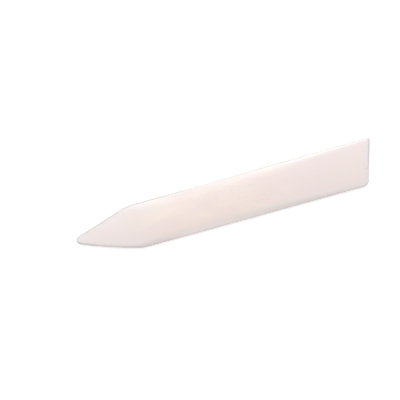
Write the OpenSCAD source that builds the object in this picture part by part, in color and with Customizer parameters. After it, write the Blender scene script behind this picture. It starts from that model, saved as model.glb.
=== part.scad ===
// Bone folder: a flat hand tool of polished bone for creasing and scoring paper and card.
//
// It is ground from one piece, so the model is one solid. The blade lies on its flat face,
// domed face up, with its long sides along X, its point at -X and its slanted butt at +X.
// The origin is under the middle of the blade, on the surface that it lies on. Sizes are in
// millimetres.

/* [Blade] */
// Length from the tip of the nose to the far corner of the butt
length = 150; // [120:1:200]
// Width between the two parallel long sides
width = 22; // [17:0.5:30]
// Thickness along the middle of the handle
thickness = 3; // [2.4:0.1:4.5]
// Rise of the domed upper face from the long sides to the middle
crown = 0.3; // [0.2:0.05:0.6]

/* [Point] */
// Radius of the rounded nose
nose_r = 2.2; // [1.4:0.1:3.2]
// How far the nose lies off the middle line, towards the upper side
nose_offset = 1; // [0:0.1:3]
// Distance from the tip of the nose to the upper shoulder
upper_shoulder = 28.4; // [22:0.1:38]
// Distance from the tip of the nose to the lower shoulder
lower_shoulder = 31.2; // [24:0.1:40]
// Radius that softens the upper shoulder
upper_shoulder_r = 20; // [5:1:40]
// Radius that softens the lower shoulder
lower_shoulder_r = 14; // [5:1:40]
// Radius of the gentle bow between the nose and the lower shoulder
belly_r = 225; // [120:5:600]
// Thickness at the nose
nose_t = 2.2; // [1.6:0.1:2.4]
// Length over which the point thins down from the handle to the nose
thinning_l = 38; // [20:1:60]

/* [Butt] */
// Angle of the butt away from square
butt_slant = 16.5; // [0:0.5:25]
// Radius of the butt's upper corner
butt_upper_r = 0.8; // [0.5:0.1:4]
// Radius of the butt's lower corner
butt_lower_r = 3; // [0.5:0.1:6]

/* [Edge] */
// Width over which each bevel would climb from the edge to the full thickness
bevel_w = 2; // [1:0.1:2.6]
// Height of the upright land that is left between the two bevels
edge_t = 1; // [0.6:0.1:1.6]

/* [Hidden] */
$fn = 250;

BONE = [0.95, 0.91, 0.88];

half_l = length / 2;
half_w = width / 2;
bevel_h = (thickness - edge_t) / 2;

// Longer than any line across the blade
beyond = 2 * length;

// Outward directions of the two long sides
UP = 90;
DOWN = 270;

// Every corner's arc crosses its two sides at this faint angle, as hand grinding leaves them
crease = 4;

// Unit vector at an angle from +X
function along(angle) = [cos(angle), sin(angle)];

// Angle of the vector from one point to another
function bearing(a, b) = atan2(b.y - a.y, b.x - a.x);

// Half section of the blade, from its middle out to an edge at distance r. A corner tighter
// than the bevel is wide has no flat left inside it, so there the two bevels meet in a cone.
function half_section(r) =
    let (low = bevel_h * max(0, 1 - r / bevel_w))
    let (rim = [[r, bevel_h], [r, thickness - bevel_h]])
    r > bevel_w
        ? [[0, 0], [r - bevel_w, 0], each rim, [r - bevel_w, thickness], [0, thickness]]
        : [[0, low], each rim, [0, thickness - low]];

// Distance from a corner's centre to each of its two sides
function inset(r) = r * cos(crease);

// --- Outline: straight sides, a bowed belly, and an arc at every corner ---

nose = [nose_r - half_l, nose_offset];

// The upper taper runs from the upper shoulder's corner to the nose
upper_corner = [upper_shoulder - half_l, half_w];
upper_taper = bearing(nose, upper_corner) - asin(inset(nose_r) / norm(upper_corner - nose));
taper_normal = UP + upper_taper;
half_turn = upper_taper / 2;
upper_centre = upper_corner - inset(upper_shoulder_r) / cos(half_turn) * along(UP + half_turn);

// The belly's circle passes through the lower shoulder's corner and round the nose
lower_corner = [lower_shoulder - half_l, -half_w];
nose_run = norm(nose - lower_corner);
nose_to_belly = belly_r - inset(nose_r);
belly_angle = acos((nose_run ^ 2 + belly_r ^ 2 - nose_to_belly ^ 2) / (2 * nose_run * belly_r));
belly = lower_corner + belly_r * along(bearing(lower_corner, nose) - belly_angle);

// The lower shoulder's arc lies between the belly's circle and the lower side
shoulder_y = inset(lower_shoulder_r) - half_w;
shoulder_to_belly = belly_r - inset(lower_shoulder_r);
lower_centre = [
    belly.x - sqrt(shoulder_to_belly ^ 2 - (belly.y - shoulder_y) ^ 2),
    shoulder_y
];

// The butt is a straight cut between its two corners
butt_upper = [half_l - butt_upper_r, half_w - inset(butt_upper_r)];
butt_reach = butt_upper * along(-butt_slant) + inset(butt_upper_r);
butt_y = inset(butt_lower_r) - half_w;
butt_lower = [
    (butt_reach - inset(butt_lower_r) + butt_y * sin(butt_slant)) / cos(butt_slant),
    butt_y
];

// Straight sides: a point on each, and its outward direction
SIDES = [
    [[0, half_w], UP],
    [[0, -half_w], DOWN],
    [upper_corner, taper_normal],
    [butt_reach * along(-butt_slant), -butt_slant]
];

// Rounded corners: centre, radius, and the outward directions at the arc's two ends
CORNERS = [
    [nose, nose_r, taper_normal, 360 + bearing(belly, nose)],
    [lower_centre, lower_shoulder_r, 360 + bearing(belly, lower_centre), DOWN],
    [butt_lower, butt_lower_r, DOWN, 360 - butt_slant],
    [butt_upper, butt_upper_r, -butt_slant, UP],
    [upper_centre, upper_shoulder_r, UP, taper_normal]
];

// --- Solids ---

// Everything inside one straight side, with the bevels along that side
module inside_side(point, outward) {
    translate([point.x, point.y, 0])
    rotate([0, 0, outward])
    translate([-beyond, beyond, 0])
    rotate([90, 0, 0])
    linear_extrude(height = 2 * beyond)
    polygon(half_section(beyond));
}

// Disc with the bevels round its rim
module bevelled_disc(centre, r) {
    translate([centre.x, centre.y, 0])
    rotate_extrude()
    polygon(half_section(r));
}

// Everything inside the belly's arc, and all that lies beyond the lower shoulder
module inside_belly() {
    bevelled_disc(belly, belly_r);
    translate([lower_centre.x, -beyond, -thickness])
    cube([2 * beyond, 2 * beyond, 3 * thickness]);
}

// What is ground off one corner: the sector outside its arc
module ground_off(centre, r, start, end) {
    reach = (r + half_w) / cos((end - start) / 4);
    difference() {
        translate([centre.x, centre.y, -thickness])
        linear_extrude(height = 3 * thickness)
        polygon([[0, 0], for (a = [start, (start + end) / 2, end]) reach * along(a)]);
        bevelled_disc(centre, r);
    }
}

// Everything under the domed upper face, which is part of a wide cylinder along the blade
module under_crown() {
    crown_r = (half_w ^ 2 + crown ^ 2) / (2 * crown);
    translate([0, 0, thickness - crown_r])
    rotate([0, 90, 0])
    cylinder(r = crown_r, h = beyond, center = true);
}

// The blade seen from its long side: an even handle, and both faces thinning towards the nose.
// The thinning runs on a little past the nose.
module side_view() {
    run_out = thinning_l / 4;
    low_end = (thickness - nose_t) / 2 * (1 + run_out / thinning_l);
    translate([0, beyond, 0])
    rotate([90, 0, 0])
    linear_extrude(height = 2 * beyond)
    polygon([
        [-half_l - run_out, low_end],
        [thinning_l - half_l, 0],
        [beyond, 0],
        [beyond, thickness],
        [thinning_l - half_l, thickness],
        [-half_l - run_out, thickness - low_end]
    ]);
}

module folder_blade() {
    color(BONE)
    difference() {
        intersection() {
            side_view();
            under_crown();
            intersection_for (side = SIDES) inside_side(side[0], side[1]);
            inside_belly();
        }
        for (c = CORNERS) ground_off(c[0], c[1], c[2], c[3]);
    }
}

folder_blade();
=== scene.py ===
import math

import bpy
import numpy as np
from mathutils import Euler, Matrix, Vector


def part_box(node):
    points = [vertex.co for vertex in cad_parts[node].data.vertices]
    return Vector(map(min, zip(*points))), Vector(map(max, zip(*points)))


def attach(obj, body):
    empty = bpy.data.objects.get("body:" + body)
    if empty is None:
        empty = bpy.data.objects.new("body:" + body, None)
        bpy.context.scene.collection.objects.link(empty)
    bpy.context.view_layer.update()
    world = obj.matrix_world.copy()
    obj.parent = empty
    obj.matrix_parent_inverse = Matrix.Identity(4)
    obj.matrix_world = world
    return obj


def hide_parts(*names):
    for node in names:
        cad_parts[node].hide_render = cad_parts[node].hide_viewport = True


# A bone folder that lies on its flat face on a pale floor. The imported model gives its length,
# width and thickness. The outline, the dome and the thinning of the point are the design's. The
# edges are softer than the design's bevels, and the faces slightly uneven, as grinding and
# polishing by hand leave them.
#
# Lengths are in metres. Distances measured inwards from the edge of the blade are insets.

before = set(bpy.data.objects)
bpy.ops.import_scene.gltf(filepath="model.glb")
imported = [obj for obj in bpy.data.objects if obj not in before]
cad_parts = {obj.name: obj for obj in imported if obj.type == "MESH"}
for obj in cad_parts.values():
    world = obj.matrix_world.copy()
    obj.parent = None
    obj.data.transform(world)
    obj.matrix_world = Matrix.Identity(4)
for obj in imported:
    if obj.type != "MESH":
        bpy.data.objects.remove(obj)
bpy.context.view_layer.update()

MM = 0.001
LOW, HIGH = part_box("folder_blade")
LENGTH = HIGH.x - LOW.x
HALF_L = LENGTH / 2
WIDTH = HIGH.y - LOW.y
HALF_W = WIDTH / 2
MID_Z = (HIGH.z + LOW.z) / 2

# Outline
NOSE_R = 2.2 * MM
NOSE_OFFSET = 1.0 * MM
UPPER_SHOULDER = 28.4 * MM
LOWER_SHOULDER = 31.2 * MM
UPPER_SHOULDER_R = 20.0 * MM
LOWER_SHOULDER_R = 14.0 * MM
BELLY_R = 225.0 * MM
BUTT_SLANT = math.radians(16.5)
BUTT_UPPER_R = 0.8 * MM
BUTT_LOWER_R = 3.0 * MM

# Faces: the upper one's dome, how far each thins down towards the nose, and their unevenness
CROWN = 0.3 * MM
NOSE_THINNING = 0.4 * MM
THINNING_L = 38.0 * MM
THINNING_POWER = 1.3
WAVE_H = 0.012 * MM

# Edge: how the section turns from the upright rim to the face, measured along its own curve
RIM_TURN = 1.3 * MM
BEVEL_SLOPE = math.radians(4)
BEVEL_L = 1.0 * MM
FACE_TURN = 6.5 * MM
SLIM_EDGE_SHARE = 0.08

# The edge widens to its full softness between the first and the second distance from the nose,
# and likewise from the butt, where it starts a little past the end.
SOFT_FROM_NOSE = (18 * MM, 62 * MM)
SOFT_FROM_BUTT = (-10 * MM, 95 * MM)

# How far an inner corner is worn round, as a share of its inset
WORN_SHARE = 0.6

# Mesh density. Inside the innermost ring, rows of faces run from the nose's arc to the butt.
# Rings crowd together where the edge's curve turns fastest.
EDGE_RINGS = 28
INNER_RINGS = 3
INNER_INSET = 8.8 * MM
ROWS = 24
CURVE_STEPS = 2000
CROWDING = 1.5

UP = math.radians(90)
DOWN = math.radians(270)
FULL_TURN = math.radians(360)


# --- Outline: arcs at the corners, and the sides between them, moved inwards by any inset ---

def along(angle):
    """Unit vector, or one unit vector for each angle."""
    return np.stack([np.cos(angle), np.sin(angle)], axis=-1)


def bearing(a, b):
    """Angle of the vector from a to b, from 0 to a full turn."""
    return np.arctan2(b[..., 1] - a[..., 1], b[..., 0] - a[..., 0]) % FULL_TURN


NOSE = np.array([NOSE_R - HALF_L, NOSE_OFFSET])


def taper_line():
    """Outward angle of the upper taper, and its distance from the origin."""
    corner = np.array([UPPER_SHOULDER - HALF_L, HALF_W])
    lean = math.asin(NOSE_R / np.linalg.norm(corner - NOSE))
    outward = UP + float(bearing(NOSE, corner)) - lean
    return outward, float(corner @ along(outward))


def belly_circle():
    """Centre of the belly's circle, which passes the lower shoulder and rounds the nose."""
    corner = np.array([LOWER_SHOULDER - HALF_L, -HALF_W])
    run = np.linalg.norm(NOSE - corner)
    reach = BELLY_R - NOSE_R
    angle = math.acos((run ** 2 + BELLY_R ** 2 - reach ** 2) / (2 * run * BELLY_R))
    return corner + BELLY_R * along(float(bearing(corner, NOSE)) - angle)


def butt_line():
    """Outward angle of the butt, and its distance from the origin."""
    upper = np.array([HALF_L - BUTT_UPPER_R, HALF_W - BUTT_UPPER_R])
    return -BUTT_SLANT, float(upper @ along(-BUTT_SLANT)) + BUTT_UPPER_R


# Straight sides: outward angle, and distance from the origin
TAPER = taper_line()
BUTT = butt_line()
UPPER_SIDE = (UP, HALF_W)
LOWER_SIDE = (DOWN, HALF_W)

BELLY = belly_circle()

CORNER_R = {
    "nose": NOSE_R,
    "lower_shoulder": LOWER_SHOULDER_R,
    "butt_lower": BUTT_LOWER_R,
    "butt_upper": BUTT_UPPER_R,
    "upper_shoulder": UPPER_SHOULDER_R,
}


def corner_radius(radius, inset):
    """Radius of a corner's arc at an inset. It never reaches zero, because the ridge that runs
    in from a tight corner is worn round."""
    left = radius - inset
    worn = WORN_SHARE * inset
    return (left + np.sqrt(left ** 2 + worn ** 2)) / 2


def between_sides(side_a, side_b, depth):
    """Points at a depth inside two straight sides."""
    (angle_a, far_a), (angle_b, far_b) = side_a, side_b
    normals = np.array([along(angle_a), along(angle_b)])
    return np.stack([far_a - depth, far_b - depth], axis=-1) @ np.linalg.inv(normals).T


def between_side_and_belly(side, depth):
    """Points at a depth inside a straight side and inside the belly's circle."""
    angle, far = side
    rise = far - depth - BELLY @ along(angle)
    half_chord = np.sqrt((BELLY_R - depth) ** 2 - rise ** 2)
    turn = UP if angle < math.pi else -UP
    return BELLY + rise[:, None] * along(angle) + half_chord[:, None] * along(angle + turn)


def corner_arc(name, inset):
    """Centres, radii, and first and last angles of one corner's arc, at each of the insets."""
    r = corner_radius(CORNER_R[name], inset)
    depth = inset + r
    if name == "nose":
        centre = between_side_and_belly(TAPER, depth)
        return centre, r, TAPER[0], bearing(BELLY, centre)
    if name == "lower_shoulder":
        centre = between_side_and_belly(LOWER_SIDE, depth)
        return centre, r, bearing(BELLY, centre), DOWN
    if name == "butt_lower":
        return between_sides(LOWER_SIDE, BUTT, depth), r, DOWN, FULL_TURN + BUTT[0]
    if name == "butt_upper":
        return between_sides(BUTT, UPPER_SIDE, depth), r, BUTT[0], UP
    return between_sides(UPPER_SIDE, TAPER, depth), r, UP, TAPER[0]


# Corners anticlockwise, each with the steps in its arc and in the side that follows it. The
# nose's arc, and the butt from the middle of one corner to the middle of the other, each have
# one step for each row.
CORNERS = [
    ("nose", ROWS, 34),
    ("lower_shoulder", 14, 110),
    ("butt_lower", ROWS // 2, ROWS // 2),
    ("butt_upper", ROWS // 2, 110),
    ("upper_shoulder", 14, 34),
]
STATIONS = sum(arc + side for _, arc, side in CORNERS)

# Stations along the nose and the butt from the lower side to the upper, and along the lower
# and upper sides from the nose to the butt
COLUMNS = (STATIONS - 2 * ROWS) // 2
ONCE_ROUND = np.arange(STATIONS + 1) % STATIONS
NOSE_ARC = ONCE_ROUND[ROWS::-1]
LOWER_CHAIN = ONCE_ROUND[ROWS:ROWS + COLUMNS + 1]
BUTT_CHAIN = ONCE_ROUND[ROWS + COLUMNS:2 * ROWS + COLUMNS + 1]
UPPER_CHAIN = ONCE_ROUND[:2 * ROWS + COLUMNS - 1:-1]


def on_arc(name, inset, share):
    """Points at shares from 0 to 1 of the way round a corner's arc."""
    centre, r, first, last = corner_arc(name, inset)
    return centre + r[:, None] * along(first + (last - first) * share)


def on_side(name, following, inset, share):
    """Points at shares from 0 to 1 of the way from one corner to the following one."""
    start = on_arc(name, inset, np.ones_like(inset))
    end = on_arc(following, inset, np.zeros_like(inset))
    if name == "nose":
        first, last = bearing(BELLY, start), bearing(BELLY, end)
        return BELLY + (BELLY_R - inset)[:, None] * along(first + (last - first) * share)
    return start + (end - start) * share[:, None]


def ring(inset):
    """One point for each station, anticlockwise from the upper end of the nose's arc. inset has
    one value for each station."""
    points = []
    first = 0
    for k, (name, arc, side) in enumerate(CORNERS):
        following = CORNERS[(k + 1) % len(CORNERS)][0]
        steps = inset[first:first + arc]
        points.append(on_arc(name, steps, np.arange(arc) / arc))
        steps = inset[first + arc:first + arc + side]
        points.append(on_side(name, following, steps, np.arange(side) / side))
        first += arc + side
    return np.concatenate(points)


# --- Section: the edge's curve, and the two faces ---

def smooth(x):
    """Eases from 0 to 1 as x goes from 0 to 1."""
    x = np.clip(x, 0, 1)
    return x * x * (3 - 2 * x)


def smooth_between(x, low, high):
    """Eases from 0 to 1 as x goes from low to high."""
    return smooth((x - low) / (high - low))


def edge_curve(share):
    """Insets, and rises from 0 to 1, from the middle of the rim up to the face. share scales
    the width of the bevel and of its turn into the face."""
    bevel = BEVEL_L * share
    turn = FACE_TURN * share
    s = np.linspace(0, RIM_TURN + bevel + turn, CURVE_STEPS)
    rim = smooth(s / RIM_TURN)
    face = smooth((s - RIM_TURN - bevel) / turn)
    slope = UP * (1 - rim) + BEVEL_SLOPE * rim * (1 - face)
    step = s[1] - s[0]
    inset = np.concatenate([[0], np.cumsum(np.cos(slope[:-1]) * step)])
    rise = np.concatenate([[0], np.cumsum(np.sin(slope[:-1]) * step)])
    pick = np.linspace(0, 1, EDGE_RINGS) ** CROWDING * (len(s) - 1)
    return np.interp(pick, range(len(s)), inset), np.interp(pick, range(len(s)), rise / rise[-1])


def waves(x, y, phase):
    """Unevenness of a hand-ground face, from -1 to 1, longer along the blade than across."""
    bent = np.sin(x / (9.0 * MM) + 0.8 * np.sin(y / (5.0 * MM)) + phase)
    short = np.sin(x / (4.3 * MM) - y / (3.1 * MM) + 2.1 * phase)
    slanted = np.sin(x / (14.0 * MM) + y / (2.2 * MM) + 3.7 * phase)
    return 0.40 * bent + 0.35 * short + 0.25 * slanted


def thinning(x):
    """How far each face has thinned down at x. The thinning starts gently."""
    past = np.clip((THINNING_L - HALF_L - x) / THINNING_L, 0, None)
    return NOSE_THINNING * past ** THINNING_POWER


def upper_face(x, y):
    """Height of the domed face."""
    return HIGH.z - CROWN * (y / HALF_W) ** 2 - thinning(x) - WAVE_H * (1 + waves(x, y, 0.7))


def lower_face(x, y):
    """Height of the flat face."""
    return LOW.z + thinning(x) + WAVE_H * (1 + waves(x, y, 2.9))


# --- Mesh ---

def softness():
    """How soft the edge is at each station: 0 round the nose, nearly 1 where the handle starts,
    and nearly 0 again at the butt."""
    outline = ring(np.zeros(STATIONS))
    from_nose = outline[:, 0] + HALF_L
    from_butt = BUTT[1] - outline @ along(BUTT[0])
    return smooth_between(from_nose, *SOFT_FROM_NOSE) * smooth_between(from_butt, *SOFT_FROM_BUTT)


def section_rings():
    """Points, rises and insets of each ring, from the rim's middle inwards."""
    wide_inset, wide_rise = edge_curve(1.0)
    slim_inset, slim_rise = edge_curve(SLIM_EDGE_SHARE)
    widen = softness()
    rings = []
    for k in range(EDGE_RINGS):
        inset = slim_inset[k] + (wide_inset[k] - slim_inset[k]) * widen
        rise = slim_rise[k] + (wide_rise[k] - slim_rise[k]) * widen
        rings.append((ring(inset), rise, inset))
    last = rings[-1][2]
    for k in range(1, INNER_RINGS + 1):
        inset = last + (INNER_INSET - last) * k / INNER_RINGS
        rings.append((ring(inset), np.ones(STATIONS), inset))
    return rings


def inner_grid(inner):
    """Points that fill the innermost ring, row by row from its lower side to its upper side."""
    up = np.linspace(0, 1, ROWS + 1)[:, None, None]
    back = np.linspace(0, 1, COLUMNS + 1)[None, :, None]
    nose, butt = inner[NOSE_ARC][:, None], inner[BUTT_CHAIN][:, None]
    lower, upper = inner[LOWER_CHAIN][None], inner[UPPER_CHAIN][None]
    across = (1 - up) * lower + up * upper
    lengthwise = (1 - back) * nose + back * butt
    straight = (1 - up) * lengthwise[:1] + up * lengthwise[-1:]
    return across + lengthwise - straight


class Points:
    """The blade's points, each with its inset."""

    def __init__(self):
        self.places = []
        self.insets = []

    def add(self, xy, z, inset):
        """Adds points, and returns their numbers."""
        first = len(self.places)
        self.places.extend(zip(xy[:, 0], xy[:, 1], z))
        self.insets.extend(inset)
        return np.arange(first, first + len(xy))


def quads(numbers):
    """Four-sided faces between the rows of a grid of point numbers."""
    corners = [numbers[:-1, :-1], numbers[:-1, 1:], numbers[1:, 1:], numbers[1:, :-1]]
    return np.stack(corners, axis=-1).reshape(-1, 4)


def add_rings(points, rings, rim, height):
    """Point numbers of each ring on one side of the rim, from the rim inwards."""
    made = [rim]
    for xy, rise, inset in rings[1:]:
        z = height(xy[:, 0], xy[:, 1])
        made.append(points.add(xy, MID_Z + (z - MID_Z) * rise, inset))
    return made


def add_grid(points, inner, inner_numbers, height):
    """Faces that fill the innermost ring, whose own point numbers are inner_numbers."""
    xy = inner_grid(inner)
    numbers = np.zeros(xy.shape[:2], int)
    numbers[0], numbers[-1] = inner_numbers[LOWER_CHAIN], inner_numbers[UPPER_CHAIN]
    numbers[:, 0], numbers[:, -1] = inner_numbers[NOSE_ARC], inner_numbers[BUTT_CHAIN]
    inside = xy[1:-1, 1:-1].reshape(-1, 2)
    z = height(inside[:, 0], inside[:, 1])
    made = points.add(inside, z, np.full(len(inside), INNER_INSET))
    numbers[1:-1, 1:-1] = made.reshape(ROWS - 1, COLUMNS - 1)
    return quads(numbers)


def add_faces(points):
    """Faces of the whole blade. Both sides start from the same rim."""
    rings = section_rings()
    rim_xy, _, rim_inset = rings[0]
    rim = points.add(rim_xy, np.full(STATIONS, MID_Z), rim_inset)
    faces = []
    for height, upwards in ((upper_face, True), (lower_face, False)):
        made = add_rings(points, rings, rim, height)
        bands = np.array([numbers[ONCE_ROUND] for numbers in made])
        middle = add_grid(points, rings[-1][0], made[-1], height)
        half = np.concatenate([quads(bands), middle])
        faces.extend(half if upwards else half[:, ::-1])
    return faces


def blade_mesh():
    """One closed mesh. Its points carry their insets for the material."""
    points = Points()
    faces = [face.tolist() for face in add_faces(points)]
    places = [tuple(map(float, place)) for place in points.places]
    mesh = bpy.data.meshes.new("bone_blade")
    mesh.from_pydata(places, [], faces)
    mesh.shade_smooth()
    attribute = mesh.attributes.new("inset", "FLOAT", "POINT")
    attribute.data.foreach_set("value", np.array(points.insets, np.float32))
    mesh.update()
    return mesh


# --- Material ---

class Nodes:
    """Short calls that add and link the shader nodes of one material."""

    def __init__(self, material):
        material.use_nodes = True
        self.tree = material.node_tree
        self.tree.nodes.clear()

    def add(self, kind, **settings):
        node = self.tree.nodes.new(kind)
        for name, value in settings.items():
            setattr(node, name, value)
        return node

    def feed(self, socket, value):
        """Links an output to a socket, or sets the socket to a plain value."""
        if isinstance(value, bpy.types.NodeSocket):
            self.tree.links.new(value, socket)
        else:
            socket.default_value = value

    def place(self):
        """Object coordinates, in metres."""
        return self.add("ShaderNodeTexCoord").outputs["Object"]

    def stretched(self, size):
        """Object coordinates in units of a feature's size along X, Y and Z."""
        mapping = self.add("ShaderNodeMapping")
        self.feed(mapping.inputs["Vector"], self.place())
        mapping.inputs["Scale"].default_value = [1 / s for s in size]
        return mapping.outputs["Vector"]

    def coordinate(self, axis):
        """Object coordinate X, Y or Z."""
        split = self.add("ShaderNodeSeparateXYZ")
        self.feed(split.inputs["Vector"], self.place())
        return split.outputs[axis]

    def from_origin(self):
        """Distance from the origin."""
        length = self.add("ShaderNodeVectorMath", operation="LENGTH")
        self.feed(length.inputs[0], self.place())
        return length.outputs["Value"]

    def noise(self, size, detail=2.0, roughness=0.5, distortion=0.0):
        node = self.add("ShaderNodeTexNoise")
        self.feed(node.inputs["Vector"], self.stretched(size))
        node.inputs["Scale"].default_value = 1.0
        node.inputs["Detail"].default_value = detail
        node.inputs["Roughness"].default_value = roughness
        node.inputs["Distortion"].default_value = distortion
        return node.outputs["Fac"]

    def span(self, value, low, high, to_low=0.0, to_high=1.0):
        """value from low to high, eased to the range from to_low to to_high."""
        node = self.add("ShaderNodeMapRange", interpolation_type="SMOOTHSTEP")
        self.feed(node.inputs["Value"], value)
        node.inputs["From Min"].default_value = low
        node.inputs["From Max"].default_value = high
        node.inputs["To Min"].default_value = to_low
        node.inputs["To Max"].default_value = to_high
        return node.outputs["Result"]

    def maths(self, operation, a, b):
        node = self.add("ShaderNodeMath", operation=operation)
        self.feed(node.inputs[0], a)
        self.feed(node.inputs[1], b)
        return node.outputs[0]

    def mix(self, factor, a, b):
        """Colour a where factor is 0, and b where it is 1."""
        node = self.add("ShaderNodeMix", data_type="RGBA")
        self.feed(node.inputs[0], factor)
        self.feed(node.inputs[6], a)
        self.feed(node.inputs[7], b)
        return node.outputs[2]

    def bump(self, height, distance, strength, normal=None):
        node = self.add("ShaderNodeBump")
        self.feed(node.inputs["Height"], height)
        node.inputs["Distance"].default_value = distance
        node.inputs["Strength"].default_value = strength
        if normal is not None:
            self.feed(node.inputs["Normal"], normal)
        return node.outputs["Normal"]

    def to_surface(self, shader):
        """Makes a shader the material's surface."""
        output = self.add("ShaderNodeOutputMaterial")
        self.feed(output.inputs["Surface"], shader.outputs["BSDF"])


PINK = (0.82, 0.70, 0.675, 1)
CREAM = (0.85, 0.755, 0.685, 1)
GREY = (0.78, 0.72, 0.70, 1)
FIBRE = (0.72, 0.62, 0.55, 1)
PORE = (0.50, 0.38, 0.29, 1)
# Painted highlight: the neutral tint of the light the bevel catches
EDGE_PAINTED_HIGHLIGHT = (0.775, 0.735, 0.725, 1)
POINT = (0.79, 0.715, 0.705, 1)
# Painted shade: the lavender grey of a hand's shade over the butt
BUTT_PAINTED_SHADE = (0.79, 0.70, 0.70, 1)
# Painted shade: the grey of the rim's dark outline
RIM_PAINTED_SHADE = (0.50, 0.48, 0.47, 1)

# Sizes of the bone's features along X, Y and Z
CLOUD_SIZE = (40 * MM, 14 * MM, 14 * MM)
BAND_SIZE = (60 * MM, 3.2 * MM, 3.2 * MM)
FIBRE_SIZE = (13 * MM, 0.55 * MM, 0.55 * MM)
CANAL_SIZE = (2.4 * MM, 0.22 * MM, 0.22 * MM)
PATCH_SIZE = (22 * MM, 6 * MM, 6 * MM)
SCRATCH_SIZE = (9 * MM, 0.12 * MM, 0.12 * MM)

# Where the looks change along the blade, as X at the start and the end of each change
POINT_FADES = (18 * MM - HALF_L, 56 * MM - HALF_L)
BUTT_SHADE_APPEARS = (8 * MM, 48 * MM)
RIM_NARROWS = (20 * MM - HALF_L, 70 * MM - HALF_L)
RIM_FADES = (30 * MM - HALF_L, 75 * MM - HALF_L)
RIM_RETURNS = (-20 * MM, 40 * MM)

# Where they change inwards from the edge, as insets. Round the point the grey rim of painted shade
# is wider.
RIM_INSETS = (0.25 * MM, 0.8 * MM)
RIM_WIDER = 0.35 * MM
EDGE_HIGHLIGHT_INSETS = (0.5 * MM, 5.5 * MM)
SHINY_INSETS = (0.0, 5 * MM)


def pore_mask(n):
    """Cut vessel canals: sparse fine dashes that come in patches."""
    dashes = n.noise(CANAL_SIZE, detail=1.0)
    patches = n.noise(PATCH_SIZE, detail=1.0)
    return n.maths("MULTIPLY", n.span(dashes, 0.66, 0.74), n.span(patches, 0.45, 0.62))


def rim_painted_shade_mask(n, inset):
    """Painted shade on the rim: a grey outline, widest and darkest round the point, darker along
    the upper side than the lower, and a little darker again towards the butt."""
    wider = n.span(n.coordinate("X"), *RIM_NARROWS, RIM_WIDER, 0.0)
    rim = n.span(n.maths("SUBTRACT", inset, wider), *RIM_INSETS, 1.0, 0.0)
    shade_strength = n.span(n.coordinate("X"), *RIM_FADES, 1.0, 0.6)
    shade_strength = n.maths("ADD", shade_strength, n.span(n.coordinate("X"), *RIM_RETURNS, 0.0, 0.35))
    rim = n.maths("MULTIPLY", rim, shade_strength)
    # Painted shade: the grey rim is darker on the upper side than on the lower
    return n.maths("MULTIPLY", rim, n.span(n.coordinate("Y"), -HALF_W, HALF_W, 0.40, 1.0))


def bone_colour(n, inset, fibres, pores):
    # Clouds of pink and cream, a few to the blade's length
    clouds = n.noise(CLOUD_SIZE, detail=3.0, distortion=0.6)
    colour = n.mix(n.span(clouds, 0.35, 0.65), PINK, CREAM)

    # Growth bands and fibres run along the bone
    bands = n.noise(BAND_SIZE, detail=2.0)
    colour = n.mix(n.span(bands, 0.45, 0.75, 0.0, 0.35), colour, GREY)
    colour = n.mix(n.span(fibres, 0.50, 0.78, 0.0, 0.30), colour, FIBRE)
    colour = n.mix(n.maths("MULTIPLY", pores, 0.45), colour, PORE)

    # The point is less yellow than the middle. Towards the butt a lavender grey is mixed in:
    # painted shade, as a hand holding the handle would cast.
    point = n.span(n.coordinate("X"), *POINT_FADES, 0.8, 0.0)
    colour = n.mix(point, colour, POINT)
    butt = n.span(n.coordinate("X"), *BUTT_SHADE_APPEARS, 0.0, 0.65)
    colour = n.mix(butt, colour, BUTT_PAINTED_SHADE)

    # Towards the edge the colour is paler and more neutral: a painted highlight along the bevel
    colour = n.mix(n.span(inset, *EDGE_HIGHLIGHT_INSETS, 0.65, 0.0), colour, EDGE_PAINTED_HIGHLIGHT)
    # Painted shade: a grey outline round the rim
    return n.mix(rim_painted_shade_mask(n, inset), colour, RIM_PAINTED_SHADE)


def bone_roughness(n, inset, fibres, scratches):
    """Fibres and scratches are duller, and the handled edge is shinier."""
    rough = n.span(fibres, 0.3, 0.8, 0.30, 0.42)
    rough = n.maths("ADD", rough, n.span(scratches, 0.55, 0.8, 0.0, 0.08))
    return n.maths("SUBTRACT", rough, n.span(inset, *SHINY_INSETS, 0.06, 0.0))


def bone_normal(n, fibres, scratches, pores):
    normal = n.bump(fibres, 0.02 * MM, 0.25)
    normal = n.bump(scratches, 0.006 * MM, 0.35, normal)
    return n.bump(n.maths("SUBTRACT", 1.0, pores), 0.02 * MM, 0.5, normal)


def bone_material():
    material = bpy.data.materials.new("polished_bone")
    n = Nodes(material)
    inset = n.add("ShaderNodeAttribute", attribute_name="inset").outputs["Fac"]
    fibres = n.noise(FIBRE_SIZE, detail=4.0, roughness=0.6)
    scratches = n.noise(SCRATCH_SIZE, detail=2.0, roughness=0.7)
    pores = pore_mask(n)

    shader = n.add("ShaderNodeBsdfPrincipled")
    n.feed(shader.inputs["Base Color"], bone_colour(n, inset, fibres, pores))
    n.feed(shader.inputs["Roughness"], bone_roughness(n, inset, fibres, scratches))
    n.feed(shader.inputs["Normal"], bone_normal(n, fibres, scratches, pores))
    shader.inputs["IOR"].default_value = 1.54
    shader.inputs["Subsurface Weight"].default_value = 0.25
    shader.inputs["Subsurface Radius"].default_value = (1.0, 0.7, 0.5)
    shader.inputs["Subsurface Scale"].default_value = 1.2 * MM
    shader.inputs["Coat Weight"].default_value = 0.15
    shader.inputs["Coat Roughness"].default_value = 0.18
    n.to_surface(shader)
    return material


def add_blade():
    blade = bpy.data.objects.new("bone_blade", blade_mesh())
    bpy.context.scene.collection.objects.link(blade)
    blade.data.materials.append(bone_material())
    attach(blade, "root")
    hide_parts("folder_blade")


# --- Studio ---

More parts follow.
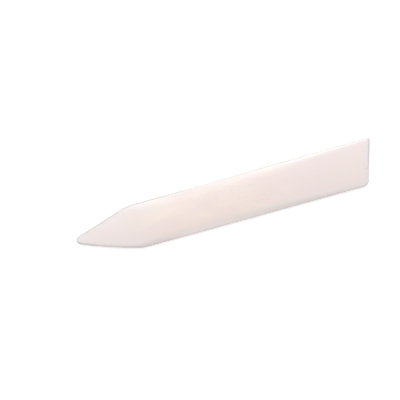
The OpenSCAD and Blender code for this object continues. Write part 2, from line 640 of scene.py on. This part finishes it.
# A round floor that sweeps up into a wall, so that no horizon shows. It glows, and more so away
# from the blade: the glow grows from the near radius to the far one.
FLOOR_R = 2.0
SWEEP_R = 2.0
WALL_H = 3.0
FLOOR_SEGMENTS = 96
SWEEP_STEPS = 16
FLOOR_COLOUR = (0.80, 0.80, 0.80, 1)
NEAR_R = 0.10
NEAR_GLOW = 0.42
FAR_R = 0.60
FAR_GLOW = 0.55

WORLD_LIGHT = 0.16


def floor_mesh():
    turns = np.linspace(0, UP, SWEEP_STEPS + 1)
    profile = [(FLOOR_R + SWEEP_R * math.sin(t), SWEEP_R * (1 - math.cos(t))) for t in turns]
    profile.append((FLOOR_R + SWEEP_R, WALL_H))
    points = [(0, 0, LOW.z)]
    faces = []
    for r, z in profile:
        for k in range(FLOOR_SEGMENTS):
            angle = FULL_TURN * k / FLOOR_SEGMENTS
            points.append((r * math.cos(angle), r * math.sin(angle), LOW.z + z))
    for k in range(FLOOR_SEGMENTS):
        following = (k + 1) % FLOOR_SEGMENTS
        faces.append((0, 1 + k, 1 + following))
        for level in range(len(profile) - 1):
            a = 1 + level * FLOOR_SEGMENTS
            b = a + FLOOR_SEGMENTS
            faces.append((a + k, b + k, b + following, a + following))
    mesh = bpy.data.meshes.new("floor")
    mesh.from_pydata(points, [], faces)
    mesh.shade_smooth()
    return mesh


def floor_material():
    material = bpy.data.materials.new("floor_paper")
    n = Nodes(material)
    glow = n.span(n.from_origin(), NEAR_R, FAR_R, NEAR_GLOW, FAR_GLOW)
    shader = n.add("ShaderNodeBsdfPrincipled")
    shader.inputs["Base Color"].default_value = FLOOR_COLOUR
    shader.inputs["Roughness"].default_value = 0.9
    shader.inputs["Specular IOR Level"].default_value = 0.0
    shader.inputs["Emission Color"].default_value = (1, 1, 1, 1)
    n.feed(shader.inputs["Emission Strength"], glow)
    n.to_surface(shader)
    return material


def add_floor():
    floor = bpy.data.objects.new("floor", floor_mesh())
    bpy.context.scene.collection.objects.link(floor)
    floor.data.materials.append(floor_material())


def add_world():
    world = bpy.data.worlds.new("studio")
    world.use_nodes = True
    background = world.node_tree.nodes["Background"]
    background.inputs["Color"].default_value = (1, 1, 1, 1)
    background.inputs["Strength"].default_value = WORLD_LIGHT
    bpy.context.scene.world = world


def add_softbox(name, place, size, power):
    """A rectangular area light that faces the origin."""
    data = bpy.data.lights.new(name, "AREA")
    data.shape = "RECTANGLE"
    data.size, data.size_y = size
    data.energy = power
    light = bpy.data.objects.new(name, data)
    bpy.context.scene.collection.objects.link(light)
    light.location = place
    light.rotation_euler = (-Vector(place)).to_track_quat("-Z", "Y").to_euler()


def add_lights():
    add_softbox("key_softbox", place=(0.10, 0.60, 0.36), size=(1.1, 0.7), power=3.0)
    add_softbox("top_softbox", place=(-0.05, 0.34, 0.80), size=(1.2, 0.6), power=4.45)


# The camera looks at AIM, a little off the blade's middle
LENS_MM = 85
VIEW_DISTANCE = 456.6 * MM
VIEW_TILT_X = math.radians(-0.94)
VIEW_TILT_Y = math.radians(7.40)
VIEW_TURN = math.radians(-15.73)
AIM = (-0.0705 * LENGTH, 0.182 * WIDTH, MID_Z)


def add_camera():
    """Looks down on the blade, a little from the butt's side, with the point at the lower left."""
    data = bpy.data.cameras.new("camera")
    data.lens = LENS_MM
    camera = bpy.data.objects.new("camera", data)
    bpy.context.scene.collection.objects.link(camera)
    turn = Euler((VIEW_TILT_X, VIEW_TILT_Y, VIEW_TURN))
    camera.rotation_euler = turn
    camera.location = Vector(AIM) + turn.to_matrix() @ Vector((0, 0, VIEW_DISTANCE))
    bpy.context.scene.camera = camera


bpy.context.scene.view_settings.view_transform = "Standard"
add_blade()
add_floor()
add_world()
add_lights()
add_camera()
